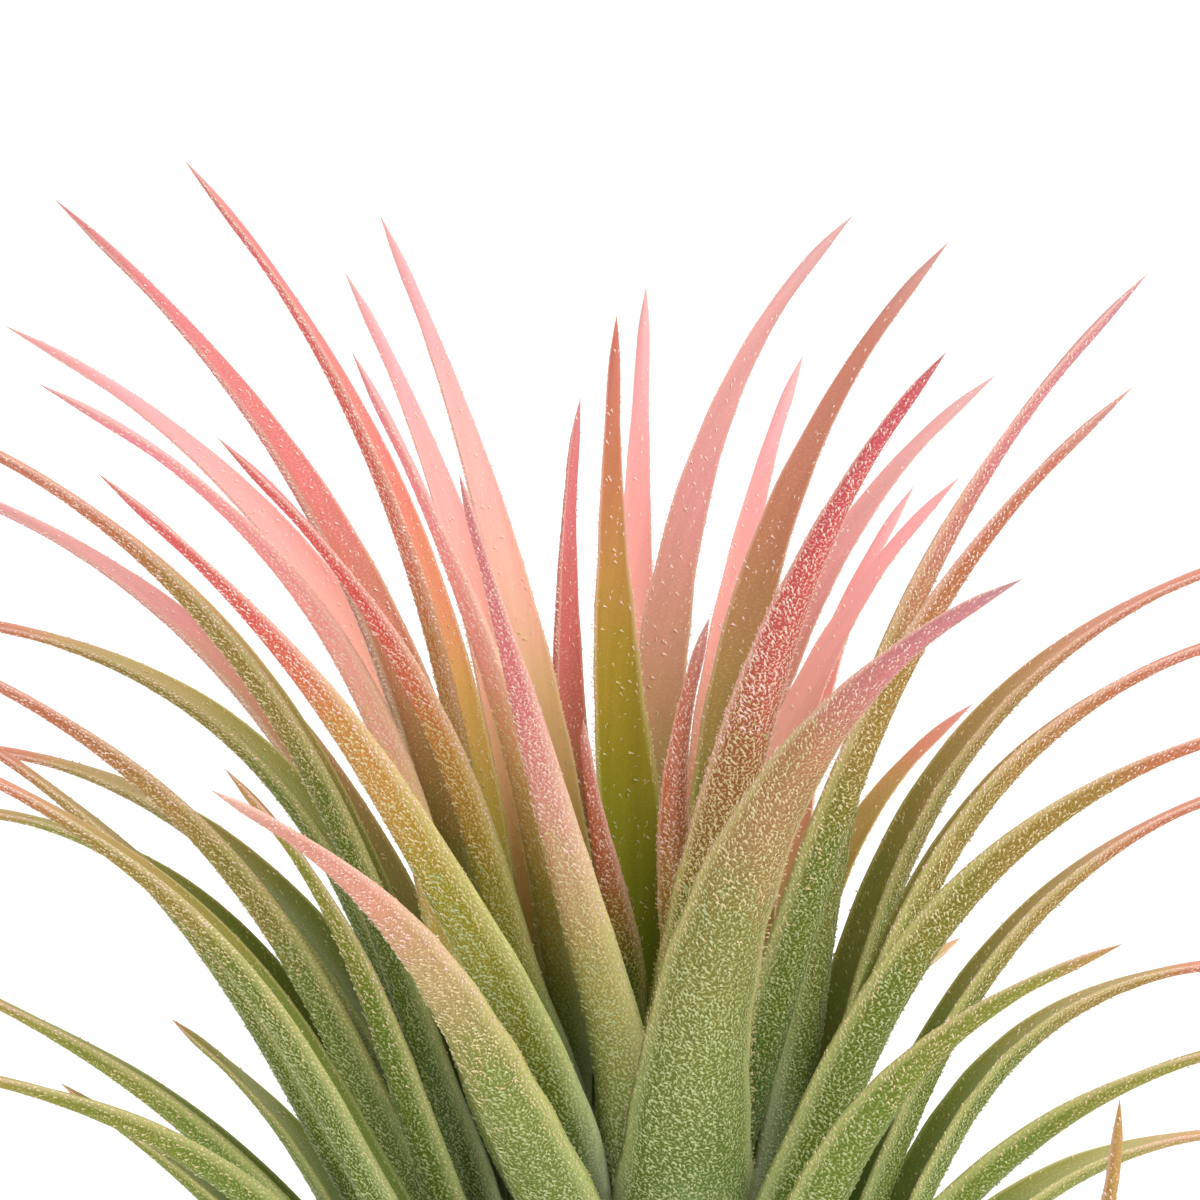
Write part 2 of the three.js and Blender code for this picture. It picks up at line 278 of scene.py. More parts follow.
def smooth_between(knots, rows, places):
    """Rows of values at places between the knots, on curves that run smoothly through them."""
    slopes = np.gradient(rows, knots, axis=0)
    before = np.clip(np.searchsorted(knots, places, side="right") - 1, 0, len(knots) - 2)
    step = (knots[before + 1] - knots[before])[:, None]
    t = (places - knots[before])[:, None] / step
    start = (1 + 2 * t) * (1 - t) ** 2 * rows[before] + t * (1 - t) ** 2 * step * slopes[before]
    return start + t**2 * (3 - 2 * t) * rows[before + 1] + t**2 * (t - 1) * step * slopes[before + 1]


def unit(vectors):
    return vectors / np.linalg.norm(vectors, axis=-1, keepdims=True)


def make_blade(node, flush_at, material, seed):
    """A leaf's blade in the place of its solid, with attributes: along, from 0 at the root to 1 at the tip;
    ripeness, which is 0.5 where the blush sets in; edge, 1 on the margins; inner, 1 in the channel; grain,
    the way that its scales point. Its UV map is in millimetres, round the blade and along it."""
    rings = leaf_rings(node)
    knots = np.append(np.linspace(0, LAST_RING_AT, len(rings) - 1), 1)
    along = np.linspace(0, 1, STATIONS + 1)[:-1]
    rows = smooth_between(knots, rings, along)
    spine = rows[:, 0:3]
    across = unit(rows[:, 3:6])
    face = unit(rows[:, 6:9])
    half, thickness, depth = rows[:, 9], rows[:, 10], rows[:, 11]
    point = np.clip((along - FINE_POINT_FROM) / (1 - FINE_POINT_FROM), 0, 1)
    fineness = 1 - FINE_POINT_SHARE * point**2 * (3 - 2 * point)
    half, thickness, depth = half * fineness, thickness * fineness, depth * fineness
    waves = np.random.default_rng(seed)
    wave = sum(
        np.sin(along * waves.uniform(*MARGIN_WAVE_TURNS) + waves.uniform(0, math.tau))
        for _ in range(MARGIN_WAVES)
    ) * MARGIN_WAVE / 2
    half = half * (1 + wave)

    back = np.sin(np.linspace(-0.5, 0.5, BACK_COLUMNS + 1) * math.pi)
    channel = np.sin(np.linspace(0.5, -0.5, FACE_COLUMNS + 1) * math.pi)[1:-1]
    sides = np.concatenate([back, channel])
    is_inner = np.concatenate([np.zeros(len(back)), np.ones(len(channel))])
    rounded = (1 - BACK_ROUNDNESS) * sides**2 + BACK_ROUNDNESS * (1 - np.sqrt(1 - sides**2))
    keel_height = -KEEL_SHARE * thickness[:, None]
    floor_height = (1 - KEEL_SHARE) * thickness[:, None]
    back_height = keel_height + (depth[:, None] - keel_height) * rounded
    channel_height = floor_height + (depth[:, None] - floor_height) * sides**2
    height = np.where(is_inner > 0, channel_height, back_height)
    places = (
        spine[:, None]
        + across[:, None] * (half[:, None] * sides)[..., None]
        + face[:, None] * height[..., None]
    )
    columns = len(sides)
    count = STATIONS * columns
    tip = rings[-1, 0:3]
    points = np.concatenate([places.reshape(-1, 3), places[0].mean(0)[None], tip[None]])
    faces = []
    for j in range(columns):
        after = (j + 1) % columns
        for i in range(STATIONS - 1):
            low = i * columns
            high = low + columns
            faces.append((low + j, low + after, high + after, high + j))
        faces.append((count, after, j))
        faces.append((count - columns + j, count - columns + after, count + 1))
    blade = mesh_object(node + "_blade", points, faces, material)

    mesh = blade.data
    every_along = np.append(np.repeat(along, columns), [0, 1])
    ripeness = np.interp(every_along, [0, flush_at, 1], [0, 0.5, 1])
    edge = np.append(np.tile(np.abs(sides), STATIONS), [0, 1])
    inner = np.append(np.tile(is_inner, STATIONS), [0, 0])
    ahead = unit(np.gradient(np.append(spine, tip[None], axis=0), axis=0))
    outwards = across[:, None] * (np.sign(sides) * np.abs(sides) ** GRAIN_SPREAD_POWER)[:, None]
    grain = unit(ahead[:-1, None] + GRAIN_SPREAD * outwards).reshape(-1, 3)
    grain = np.concatenate([grain, ahead[:1], ahead[-1:]])
    for name, values in {"along": every_along, "ripeness": ripeness, "edge": edge, "inner": inner}.items():
        mesh.attributes.new(name, "FLOAT", "POINT").data.foreach_set("value", values)
    mesh.attributes.new("grain", "FLOAT_VECTOR", "POINT").data.foreach_set("vector", grain.ravel())

    length_mm = np.append(0, np.cumsum(np.linalg.norm(np.diff(spine, axis=0), axis=1))) / MM
    girth_mm = 4 * half / MM
    corner_places = np.empty(len(mesh.loops) * 2)
    uv_layer = mesh.uv_layers.new(name="blade")
    for polygon in mesh.polygons:
        own = [mesh.loops[k].vertex_index for k in polygon.loop_indices]
        wraps = any(v < count and v % columns == columns - 1 for v in own)
        for k, v in zip(polygon.loop_indices, own):
            if v < count:
                row, column = divmod(v, columns)
                column = columns if wraps and column == 0 else column
                place = (column / columns - 0.5) * girth_mm[row], length_mm[row]
            else:
                place = 0, -1 if v == count else length_mm[-1] + 1
            corner_places[2 * k : 2 * k + 2] = place
    uv_layer.uv.foreach_set("vector", corner_places)
    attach(blade, "root")
    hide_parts(node)
    return blade


# The leaf's scales are what makes the plant silvery: dead, air-filled slivers, each rooted in the skin at its
# narrow end, lifted a little at the other, and turned every way. They lie densest on the back of a leaf and
# as a fringe along its margins, and go from silvery green through straw to pale pink where the leaf blushes.
# The scales of the fringe are paler still: partly their own colour, partly painted rim light.
SCALE_LENGTH = 0.24 * MM
SCALE_WIDTH = 0.14 * MM
SCALE_THICKNESS = 0.035 * MM
SCALE_SIDES = 3
SCALE_SIZES = (0.5, 1.2)
SIZE_WITHOUT_ROOM = 0.6
SCALE_LIFT = math.radians(9)
LIFT_SHARES = (0.3, 1.7)
LIFT_SEED = 7
SCALE_SWING = math.radians(85)
PATCH_SIZE = 0.5 * MM
PATCH_PALENESS = 0.24
STRAW_FROM = 0.36
ROSY_FROM = 0.54
# So many to a square metre that only the spacing limits them.
MOST_SPOTS = 1e9


def calculate(tree, operation, *values):
    """The socket with the result of a calculation on numbers and sockets."""
    return add(tree, "ShaderNodeMath", dict(enumerate(values)), operation=operation).outputs[0]


def random_between(tree, least, most, seed):
    """The socket with a number drawn for each point between two others."""
    draws = add(tree, "FunctionNodeRandomValue", {2: least, 3: most, "Seed": seed}, data_type="FLOAT")
    return draws.outputs[1]


def scale_material(name, hex_colour):
    """A dead, air-filled scale: matt, with a faint glint where it lies flat to the light."""
    material, tree, shader = new_material(name)
    shader.inputs["Base Color"].default_value = linear(hex_colour)
    shader.inputs["Roughness"].default_value = 0.5
    shader.inputs["Specular IOR Level"].default_value = 0.4
    return material


silver_scale = scale_material("silver_scale", "#C6CC90")
straw_scale = scale_material("straw_scale", "#E8D6A2")
rosy_scale = scale_material("rosy_scale", "#FDDCCD")

scales_tree = bpy.data.node_groups.new("leaf_scales", "GeometryNodeTree")
sockets = {}
for name, kind, way in [
    ("Blade", "NodeSocketGeometry", "INPUT"),
    ("Scale length", "NodeSocketFloat", "INPUT"),
    ("Scale width", "NodeSocketFloat", "INPUT"),
    ("Scale thickness", "NodeSocketFloat", "INPUT"),
    ("Spacing", "NodeSocketFloat", "INPUT"),
    ("Lift", "NodeSocketFloat", "INPUT"),
    ("Swing", "NodeSocketFloat", "INPUT"),
    ("Seed", "NodeSocketInt", "INPUT"),
    ("Scales", "NodeSocketGeometry", "OUTPUT"),
]:
    sockets[name] = scales_tree.interface.new_socket(name, socket_type=kind, in_out=way)
given = add(scales_tree, "NodeGroupInput").outputs
coverage, grain, paleness, room = [
    add(scales_tree, "GeometryNodeInputNamedAttribute", {"Name": name}, data_type=kind).outputs["Attribute"]
    for name, kind in {
        "coverage": "FLOAT", "grain": "FLOAT_VECTOR", "paleness": "FLOAT", "room": "FLOAT"
    }.items()
]
spots = add(
    scales_tree,
    "GeometryNodeDistributePointsOnFaces",
    {
        "Mesh": given["Blade"],
        "Distance Min": given["Spacing"],
        "Density Max": MOST_SPOTS,
        "Density Factor": coverage,
        "Seed": given["Seed"],
    },
    distribute_method="POISSON",
)
upright = add(
    scales_tree, "FunctionNodeAlignRotationToVector", {"Vector": spots.outputs["Normal"]}, axis="Z"
)
combed = add(
    scales_tree,
    "FunctionNodeAlignRotationToVector",
    {"Rotation": upright.outputs[0], "Vector": grain},
    axis="Y",
    pivot_axis="Z",
)
least_swing = calculate(scales_tree, "MULTIPLY", given["Swing"], -1.0)
swing = random_between(scales_tree, least_swing, given["Swing"], given["Seed"])
swing_here = calculate(scales_tree, "MULTIPLY", swing, room)
swing_turn = add(scales_tree, "ShaderNodeCombineXYZ", {"Z": swing_here})
swing_rotation = add(scales_tree, "FunctionNodeEulerToRotation", {0: swing_turn.outputs[0]})
swung = add(
    scales_tree,
    "FunctionNodeRotateRotation",
    {"Rotation": combed.outputs[0], "Rotate By": swing_rotation.outputs[0]},
    rotation_space="LOCAL",
)
least_lift = calculate(scales_tree, "MULTIPLY", given["Lift"], LIFT_SHARES[0])
most_lift = calculate(scales_tree, "MULTIPLY", given["Lift"], LIFT_SHARES[1])
lift = random_between(scales_tree, least_lift, most_lift, LIFT_SEED)
lift_turn = add(scales_tree, "ShaderNodeCombineXYZ", {"X": lift})
lift_rotation = add(scales_tree, "FunctionNodeEulerToRotation", {0: lift_turn.outputs[0]})
laid = add(
    scales_tree,
    "FunctionNodeRotateRotation",
    {"Rotation": swung.outputs[0], "Rotate By": lift_rotation.outputs[0]},
    rotation_space="LOCAL",
)
sliver = add(
    scales_tree,
    "GeometryNodeMeshCone",
    {"Vertices": SCALE_SIDES, "Radius Top": 0.5, "Radius Bottom": 0.0, "Depth": 1.0},
    fill_type="NGON",
)
sliver_size = add(
    scales_tree,
    "ShaderNodeCombineXYZ",
    {"X": given["Scale width"], "Y": given["Scale thickness"], "Z": given["Scale length"]},
)
sized_sliver = add(
    scales_tree,
    "GeometryNodeTransform",
    {"Geometry": sliver.outputs["Mesh"], "Scale": sliver_size.outputs[0]},
)
lying_sliver = add(
    scales_tree,
    "GeometryNodeTransform",
    {"Geometry": sized_sliver.outputs[0], "Rotation": (-math.pi / 2, 0, 0)},
)
size = random_between(scales_tree, *SCALE_SIZES, given["Seed"])
room_share = calculate(scales_tree, "MULTIPLY_ADD", room, 1 - SIZE_WITHOUT_ROOM, SIZE_WITHOUT_ROOM)
size_here = calculate(scales_tree, "MULTIPLY", size, room_share)
placed = add(
    scales_tree,
    "GeometryNodeInstanceOnPoints",
    {
        "Points": spots.outputs["Points"],
        "Instance": lying_sliver.outputs[0],
        "Rotation": laid.outputs[0],
        "Scale": size_here,
    },
)
realised = add(scales_tree, "GeometryNodeRealizeInstances", {"Geometry": placed.outputs[0]})
patches = add(scales_tree, "ShaderNodeTexNoise", {"Scale": 1 / PATCH_SIZE, "Detail": 1})
patchy = calculate(
    scales_tree, "MULTIPLY_ADD", patches.outputs["Fac"], PATCH_PALENESS, -PATCH_PALENESS / 2
)
pale_here = calculate(scales_tree, "ADD", paleness, patchy)
coloured = add(
    scales_tree, "GeometryNodeSetMaterial", {"Geometry": realised.outputs[0], "Material": silver_scale}
)
# The paleness that picks each scale's finish carries painted rim light on the margins.
for pale_from, finish in [(STRAW_FROM, straw_scale), (ROSY_FROM, rosy_scale)]:
    is_paler = add(
        scales_tree,
        "FunctionNodeCompare",
        {0: pale_here, 1: pale_from},
        data_type="FLOAT",
        operation="GREATER_THAN",
    )
    coloured = add(
        scales_tree,
        "GeometryNodeSetMaterial",
        {"Geometry": coloured.outputs[0], "Selection": is_paler.outputs[0], "Material": finish},
    )
add(scales_tree, "NodeGroupOutput", {"Scales": coloured.outputs[0]})

# How the scales change along a leaf, from 0 at its root to 1 at its tip, and across it, from 0 in the middle
# to 1 on its margins. Each is a list of places and a list of the values there.
BACK_COVERAGE = ([0, 0.1, 0.4, 0.75, 0.92, 1], [0.1, 0.5, 1, 0.75, 0.5, 0.2])
CHANNEL_COVERAGE = 0.12
FRINGE_ACROSS = ([0.8, 1], [0, 0.9])
FRINGE_ALONG = ([0, 0.85, 1], [1, 0.7, 0])
ROOM_ACROSS = ([0.65, 0.95], [1, 0.55])
ROOM_ALONG = ([0.55, 0.95], [1, 0.4])
FRINGE_AND_PAINTED_RIM_PALENESS = ([0.8, 1], [0, 0.2])


def cover_with_scales(blade, node, spacing, seed):
    """Covers a blade with scales: dense on the back, few in the channel, and a fringe on the margins whose
    paler colour is partly the scales' own and partly painted rim light. Where it is narrow there is less
    room, so they are smaller there and lie more along it."""
    mesh = blade.data
    values = {}
    for name in ("along", "edge", "inner", "ripeness"):
        values[name] = np.empty(len(mesh.vertices))
        mesh.attributes[name].data.foreach_get("value", values[name])
    along, edge = values["along"], values["edge"]
    fringe = np.interp(edge, *FRINGE_ACROSS) * np.interp(along, *FRINGE_ALONG)
    side_coverage = np.where(values["inner"] > 0, CHANNEL_COVERAGE, 1)
    coverage = np.clip(side_coverage * np.interp(along, *BACK_COVERAGE) + fringe, 0, 1)
    room = np.interp(edge, *ROOM_ACROSS) * np.interp(along, *ROOM_ALONG)
    # Scales on the margins are made paler: partly their own colour, partly painted rim light.
    paleness = values["ripeness"] + np.interp(edge, *FRINGE_AND_PAINTED_RIM_PALENESS)
    for name, shares in {"coverage": coverage, "room": room, "paleness": paleness}.items():
        mesh.attributes.new(name, "FLOAT", "POINT").data.foreach_set("value", shares)
    carrier = bpy.data.objects.new(node + "_carrier", mesh)
    bpy.context.scene.collection.objects.link(carrier)
    modifier = carrier.modifiers.new("scales", "NODES")
    modifier.node_group = scales_tree
    for name, value in {
        "Scale length": SCALE_LENGTH,
        "Scale width": SCALE_WIDTH,
        "Scale thickness": SCALE_THICKNESS,
        "Spacing": spacing,
        "Lift": SCALE_LIFT,
        "Swing": SCALE_SWING,
        "Seed": seed,
    }.items():
        modifier[sockets[name].identifier] = value
    bpy.context.view_layer.update()
    evaluated = carrier.evaluated_get(bpy.context.evaluated_depsgraph_get())
    slivers = bpy.data.meshes.new_from_object(evaluated)
    bpy.data.objects.remove(carrier)
    slivers.name = node + "_scales"
    for attribute in list(slivers.attributes):
        if attribute.name in (*values, "coverage", "room", "paleness", "grain"):
            slivers.attributes.remove(attribute)
    piece = bpy.data.objects.new(node + "_scales", slivers)
    bpy.context.scene.collection.objects.link(piece)
    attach(piece, "root")


# The leaf's skin is living tissue under a thin wax, so it is half matt. Its colour runs from silvery green at
# the root through olive to the blush of its sunlit end. Fine veins run up it, and the smallest scales, too
# many to model one by one, are drawn in it as a crust of curled pale slivers.
VEIN_SPACING_MM = 0.28
VEIN_WIDTH_TO_LENGTH = 0.08
VEIN_NOISE = (0.3, 0.7)
VEIN_SHADES = (0.9, 1.06)
SLIVER_LENGTH_MM = 0.26
SLIVER_BEND_MM = 0.35
SLIVER_WAVES = 1.6
SLIVER_EDGE = (0.53, 0.64)
SLIVERS_AT_TIP = 0.45
ALL_SLIVERS_BELOW = 0.3
SLIVERS_IN_CHANNEL = 0.35
SLIVERS_IN_PATCHES = (0.65, 1.15)
# The skin is paler towards the margins: partly the pale fringe of scales that they have, partly painted rim
# light.
FRINGE_AND_PAINTED_RIM_FROM = 0.8
FRINGE_AND_PAINTED_RIM_SHARE = 0.65
BLOTCH_SIZE_MM = 2.5
BLOTCH_WIDTH_TO_LENGTH = 0.35
BLOTCH_NOISE = (0.35, 0.65)
BLOTCH_RIPENESS = 0.2
SLIVER_COLOURS = [
    (0.0, "#EFF2E2"), (0.2, "#CED88E"), (0.4, "#DED68A"), (0.52, "#F0D6A8"), (0.68, "#FBCAB6"),
    (1.0, "#F6C8B8"),
]


def remap(tree, value, seen, wanted=(0.0, 1.0)):
    """The socket with a value that is moved from one range into another and held there."""
    ranges = {1: seen[0], 2: seen[1], 3: wanted[0], 4: wanted[1]}
    return add(tree, "ShaderNodeMapRange", {0: value, **ranges}).outputs[0]


def mix_colours(tree, share, first, second, blend="MIX"):
    """The socket with a mixture of two colours."""
    inputs = {0: share, 6: first, 7: second}
    return add(tree, "ShaderNodeMix", inputs, data_type="RGBA", blend_type=blend).outputs[2]


def leaf_skin(name, colours, sliver_share, paler_inside):
    """A leaf's skin. colours are its steps from the root, 0, to the tip, 1, with the blush at 0.5.
    sliver_share is how much of it the crust hides, and paler_inside how much paler its channel is."""
    material, tree, shader = new_material(name)
    along, ripeness, edge, inner = [
        add(tree, "ShaderNodeAttribute", attribute_name=attribute).outputs["Fac"]
        for attribute in ("along", "ripeness", "edge", "inner")
    ]
    skin_map = add(tree, "ShaderNodeUVMap", uv_map="blade").outputs["UV"]

    blotches_map = add(
        tree, "ShaderNodeMapping", {"Vector": skin_map, "Scale": (1, BLOTCH_WIDTH_TO_LENGTH, 1)}
    )
    blotches = add(
        tree,
        "ShaderNodeTexNoise",
        {"Vector": blotches_map.outputs[0], "Scale": 1 / BLOTCH_SIZE_MM, "Detail": 3},
    )
    shifted = calculate(
        tree, "MULTIPLY_ADD", blotches.outputs["Fac"], BLOTCH_RIPENESS, -BLOTCH_RIPENESS / 2
    )
    ripe_here = calculate(tree, "ADD", ripeness, shifted)
    flesh = colour_steps(add(tree, "ShaderNodeValToRGB", {"Fac": ripe_here}), colours)
    sliver_colour = colour_steps(add(tree, "ShaderNodeValToRGB", {"Fac": ripe_here}), SLIVER_COLOURS)

    vein_map = add(
        tree,
        "ShaderNodeMapping",
        {"Vector": skin_map, "Scale": (1 / VEIN_SPACING_MM, VEIN_WIDTH_TO_LENGTH, 1)},
    )
    veins = add(tree, "ShaderNodeTexNoise", {"Vector": vein_map.outputs[0], "Scale": 1.0, "Detail": 2})
    vein_shade = remap(tree, veins.outputs["Fac"], VEIN_NOISE, VEIN_SHADES)
    veined = mix_colours(tree, 1.0, flesh, vein_shade, "MULTIPLY")

    crooked = add(tree, "ShaderNodeTexNoise", {"Vector": skin_map, "Scale": 1 / (2 * SLIVER_LENGTH_MM)})
    bent_map = add(
        tree,
        "ShaderNodeVectorMath",
        {0: crooked.outputs["Color"], 1: (SLIVER_BEND_MM,) * 3, 2: skin_map},
        operation="MULTIPLY_ADD",
    )
    slivers = add(
        tree,
        "ShaderNodeTexGabor",
        {
            "Vector": bent_map.outputs[0],
            "Scale": 1 / SLIVER_LENGTH_MM,
            "Frequency": SLIVER_WAVES,
            "Anisotropy": 0.0,
        },
        gabor_type="2D",
    )
    sliver_shape = remap(tree, slivers.outputs["Value"], SLIVER_EDGE)
    towards_root = remap(tree, along, (1.0, ALL_SLIVERS_BELOW), (SLIVERS_AT_TIP, 1.0))
    on_back = remap(tree, inner, (0.0, 1.0), (1.0, SLIVERS_IN_CHANNEL))
    in_patches = remap(tree, blotches.outputs["Fac"], BLOTCH_NOISE, SLIVERS_IN_PATCHES)
    sliver_depth = calculate(tree, "MULTIPLY", towards_root, on_back)
    patchy_depth = calculate(tree, "MULTIPLY", sliver_depth, in_patches)
    sliver_mask = calculate(tree, "MULTIPLY", sliver_shape, patchy_depth)
    crust = calculate(tree, "MULTIPLY", sliver_mask, sliver_share)
    crusted = mix_colours(tree, crust, veined, sliver_colour)

    pale_inside = calculate(tree, "MULTIPLY", inner, paler_inside)
    # Paler margins: partly their own pale fringe of scales, partly painted rim light.
    fringe_and_painted_rim = remap(tree, edge, (FRINGE_AND_PAINTED_RIM_FROM, 1.0), (0.0, FRINGE_AND_PAINTED_RIM_SHARE))
    paleness = calculate(tree, "MAXIMUM", pale_inside, fringe_and_painted_rim)
    finished = mix_colours(tree, paleness, crusted, sliver_colour)
    tree.links.new(finished, shader.inputs["Base Color"])
    shader.inputs["Roughness"].default_value = 0.5
    shader.inputs["Specular IOR Level"].default_value = 0.25
    return material


def grow_leaves(spacing, leaves):
    """Blades and scales for a group of leaves. leaves gives each one's skin and how far up it the blush sets
    in, and spacing is the least distance between two scales."""
    for seed, (node, (skin, flush_at)) in enumerate(leaves.items()):
        blade = make_blade(node, flush_at, skin, seed)
        cover_with_scales(blade, node, spacing, seed)


# The oldest leaves lie out flat round the foot of the stem, out of the sun, so they stay green nearly to
# their tips. Their points hang down to just above what the plant stands on.
green_skin = leaf_skin(
    "green_leaf_skin",
    [(0.0, "#A3B484"), (0.15, "#62782A"), (0.35, "#6B7E20"), (0.5, "#938F34"), (0.75, "#B58F48"),
     (1.0, "#BE8F58")],
    sliver_share=0.6,
    paler_inside=0.12,
)
grow_leaves(
    spacing=0.3 * MM,
    leaves={
        "skirt_leaf_1": (green_skin, 0.95),
        "skirt_leaf_2": (green_skin, 0.9),
        "skirt_leaf_3": (green_skin, 0.95),
        "skirt_leaf_4": (green_skin, 0.9),
        "skirt_leaf_5": (green_skin, 0.95),
        "skirt_leaf_6": (green_skin, 0.9),
    },
)

# The lower leaves arch out over the skirt. They are olive green, and tan or brown only at their points.
grow_leaves(
    spacing=0.24 * MM,
    leaves={
        "lower_leaf_1": (green_skin, 0.85),
        "lower_leaf_2": (green_skin, 0.85),
        "lower_leaf_3": (green_skin, 0.95),
        "lower_leaf_4": (green_skin, 0.95),
        "lower_leaf_5": (green_skin, 0.85),
        "lower_leaf_6": (green_skin, 0.75),
        "lower_leaf_7": (green_skin, 0.75),
        "lower_leaf_8": (green_skin, 0.9),
        "lower_leaf_9": (green_skin, 0.9),
        "lower_leaf_10": (green_skin, 0.9),
        "lower_leaf_11": (green_skin, 0.9),
    },
)

# The outer leaves sweep out and up with their ends bent over to the light. Those ends have turned rusty, in
# some more than in others, and the rest is olive green under dense silver scales.
rust_skin = leaf_skin(
    "rust_leaf_skin",
    [(0.0, "#9DB078"), (0.15, "#5A7220"), (0.34, "#6A761C"), (0.5, "#A67C36"), (0.66, "#BE7048"),
     (0.85, "#C4725C"), (1.0, "#CC938A")],
    sliver_share=0.6,
    paler_inside=0.15,
)
mauve_skin = leaf_skin(
    "mauve_leaf_skin",
    [(0.0, "#9DB078"), (0.15, "#5E7428"), (0.34, "#847E38"), (0.5, "#BE7E5E"), (0.66, "#D07C7C"),
     (0.9, "#CC8488"), (1.0, "#C29094")],
    sliver_share=0.6,
    paler_inside=0.25,
)
grow_leaves(
    spacing=0.165 * MM,
    leaves={
        "outer_leaf_1": (mauve_skin, 0.6),
        "outer_leaf_2": (rust_skin, 0.85),
        "outer_leaf_3": (rust_skin, 0.7),
        "outer_leaf_4": (rust_skin, 0.8),
        "outer_leaf_5": (rust_skin, 0.85),
        "outer_leaf_6": (rust_skin, 0.85),
        "outer_leaf_7": (green_skin, 0.85),
        "outer_leaf_8": (green_skin, 0.85),
        "outer_leaf_9": (rust_skin, 0.85),
        "outer_leaf_10": (rust_skin, 0.7),
        "outer_leaf_11": (rust_skin, 0.7),
        "outer_leaf_12": (rust_skin, 0.8),
        "outer_leaf_13": (rust_skin, 0.75),
        "outer_leaf_14": (green_skin, 0.9),
        "outer_leaf_15": (rust_skin, 0.85),
    },
)

# The middle leaves stand in a ring round the heart. Their upper halves have flushed pink or coral, while
# the two that lean to the front are green almost to the bend and pink only beyond it.
coral_skin = leaf_skin(
    "coral_leaf_skin",
    [(0.0, "#A9B98A"), (0.15, "#667A24"), (0.34, "#A0901E"), (0.46, "#C88E3C"), (0.55, "#D67A4C"),
     (0.68, "#DE5C52"), (0.9, "#DC5E60"), (1.0, "#CC7C70")],
    sliver_share=0.7,
    paler_inside=0.15,
)
ruby_skin = leaf_skin(
    "ruby_leaf_skin",
    [(0.0, "#A9B98A"), (0.15, "#667A24"), (0.34, "#74721E"), (0.48, "#9C6434"), (0.58, "#BC5E48"),
     (0.72, "#CE5252"), (0.9, "#CC5660"), (1.0, "#C07070")],
    sliver_share=0.9,
    paler_inside=0.15,
)
pink_skin = leaf_skin(
    "pink_leaf_skin",
    [(0.0, "#A9B98A"), (0.15, "#8E9C48"), (0.32, "#C4A448"), (0.46, "#E4B07C"), (0.58, "#F4AC98"),
     (0.72, "#F79A98"), (0.9, "#F28E9A"), (1.0, "#DA9294")],
    sliver_share=0.5,
    paler_inside=0.3,
)
salmon_skin = leaf_skin(
    "salmon_leaf_skin",
    [(0.0, "#A9B98A"), (0.18, "#667C30"), (0.36, "#7E8638"), (0.5, "#BC9C68"), (0.62, "#DA9678"),
     (0.8, "#DE9484"), (1.0, "#DCAE9C")],
    sliver_share=0.6,
    paler_inside=0.25,
)
grow_leaves(
    spacing=0.158 * MM,
    leaves={
        "middle_leaf_1": (coral_skin, 0.65),
        "middle_leaf_2": (pink_skin, 0.5),
        "middle_leaf_3": (ruby_skin, 0.45),
        "middle_leaf_4": (rust_skin, 0.65),
        "middle_leaf_5": (mauve_skin, 0.65),
        "middle_leaf_6": (mauve_skin, 0.72),
        "middle_leaf_7": (pink_skin, 0.5),
        "middle_leaf_8": (pink_skin, 0.5),
        "middle_leaf_9": (mauve_skin, 0.5),
        "middle_leaf_10": (pink_skin, 0.45),
        "middle_leaf_11": (pink_skin, 0.5),
        "middle_leaf_12": (pink_skin, 0.5),
        "middle_leaf_13": (pink_skin, 0.45),
        "middle_leaf_14": (rust_skin, 0.7),
        "middle_leaf_15": (salmon_skin, 0.62),
    },
)

# The inner leaves stand nearly upright and have flushed the deepest, because the plant is about to flower.
frosted_skin = leaf_skin(
    "frosted_pink_leaf_skin",
    [(0.0, "#A9B98A"), (0.15, "#7C8C40"), (0.34, "#B4A45A"), (0.46, "#D2A67C"), (0.56, "#E0988A"),
     (0.74, "#DA7478"), (1.0, "#CE7C80")],
    sliver_share=1.0,
    paler_inside=0.3,
)
grow_leaves(
    spacing=0.15 * MM,
    leaves={
        "inner_leaf_1": (ruby_skin, 0.5),
        "inner_leaf_2": (rust_skin, 0.52),
        "inner_leaf_3": (pink_skin, 0.55),
        "inner_leaf_4": (frosted_skin, 0.49),
        "inner_leaf_5": (coral_skin, 0.6),
        "inner_leaf_6": (ruby_skin, 0.45),
        "inner_leaf_7": (mauve_skin, 0.45),
        "inner_leaf_8": (pink_skin, 0.5),
        "inner_leaf_9": (coral_skin, 0.5),
    },
)

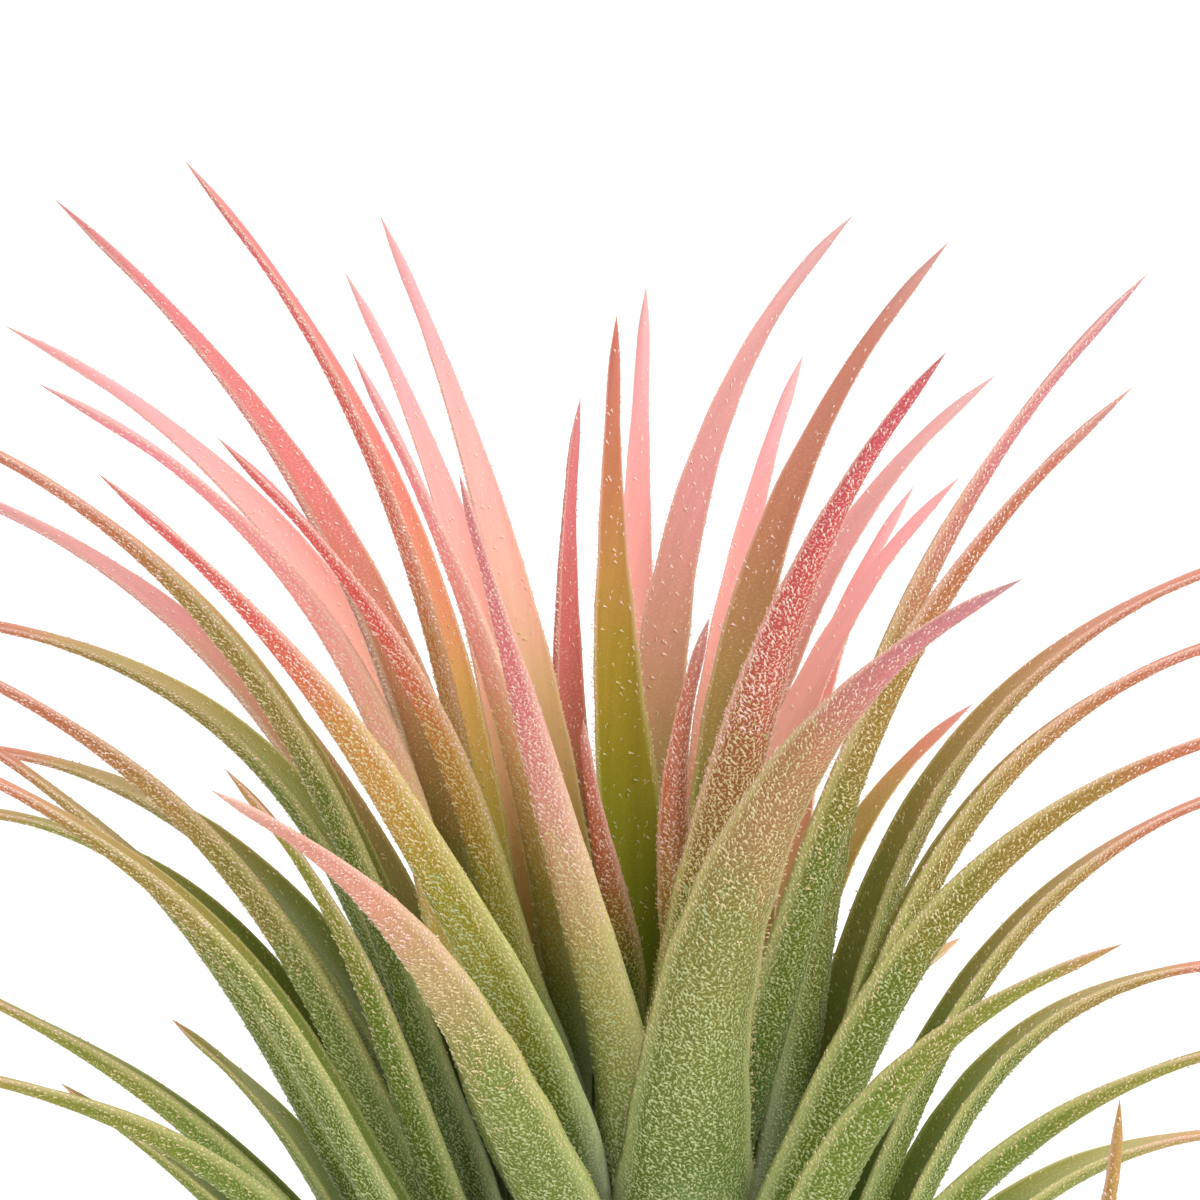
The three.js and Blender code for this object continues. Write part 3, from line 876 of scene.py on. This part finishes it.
# The youngest leaves stand in the heart, close together. The tallest is smooth and golden green and has
# reddened only at its point, and the two beside it are still short and rusty.
golden_skin = leaf_skin(
    "golden_leaf_skin",
    [(0.0, "#A9B97A"), (0.15, "#7C881A"), (0.34, "#948E18"), (0.46, "#AC9228"), (0.58, "#C29246"),
     (0.75, "#CC8058"), (1.0, "#D2786C")],
    sliver_share=0.25,
    paler_inside=0.0,
)
grow_leaves(
    spacing=0.15 * MM,
    leaves={
        "heart_leaf_1": (rust_skin, 0.52),
        "heart_leaf_2": (rust_skin, 0.5),
        "heart_leaf_3": (golden_skin, 0.62),
    },
)


# The plant stands on a pale, plain floor that runs on behind it. A large panel behind it lights that floor
# white and rims the leaves, one above it on the right is the main light, and one in front fills the shade.
FLOOR_SIZE = 8.0
LIT_HEIGHT = 40 * MM
ROOM_LIGHT = 0.56

pale_floor, tree, shader = new_material("pale_floor")
shader.inputs["Base Color"].default_value = linear("#F9F9F9")
shader.inputs["Roughness"].default_value = 0.9
shader.inputs["Specular IOR Level"].default_value = 0.0
reach = FLOOR_SIZE / 2
corners = [(-reach, -reach, 0), (reach, -reach, 0), (reach, reach, 0), (-reach, reach, 0)]
floor = mesh_object("floor", corners, [(0, 1, 2, 3)], pale_floor)


def soft_panel(name, turn, height_angle, distance, size, power):
    """A square white panel that lights the plant. turn is in degrees from the camera's side, to its right."""
    data = bpy.data.lights.new(name, "AREA")
    data.size = size
    data.energy = power
    panel = bpy.data.objects.new(name, data)
    towards = Vector((
        math.sin(math.radians(turn)) * math.cos(math.radians(height_angle)),
        -math.cos(math.radians(turn)) * math.cos(math.radians(height_angle)),
        math.sin(math.radians(height_angle)),
    ))
    panel.location = Vector((0, 0, LIT_HEIGHT)) + distance * towards
    panel.rotation_euler = towards.to_track_quat("Z", "Y").to_euler()
    bpy.context.scene.collection.objects.link(panel)


soft_panel("panel_behind", turn=170, height_angle=50, distance=1.8, size=2.4, power=24)
soft_panel("panel_over", turn=70, height_angle=50, distance=0.8, size=0.5, power=4.2)
soft_panel("panel_front", turn=-40, height_angle=30, distance=1.0, size=0.8, power=1.6)
world = bpy.data.worlds.new("studio")
world.use_nodes = True
world.node_tree.nodes["Background"].inputs["Color"].default_value = linear("#FFFFFF")
world.node_tree.nodes["Background"].inputs["Strength"].default_value = ROOM_LIGHT
bpy.context.scene.world = world
bpy.context.scene.view_settings.view_transform = "Standard"
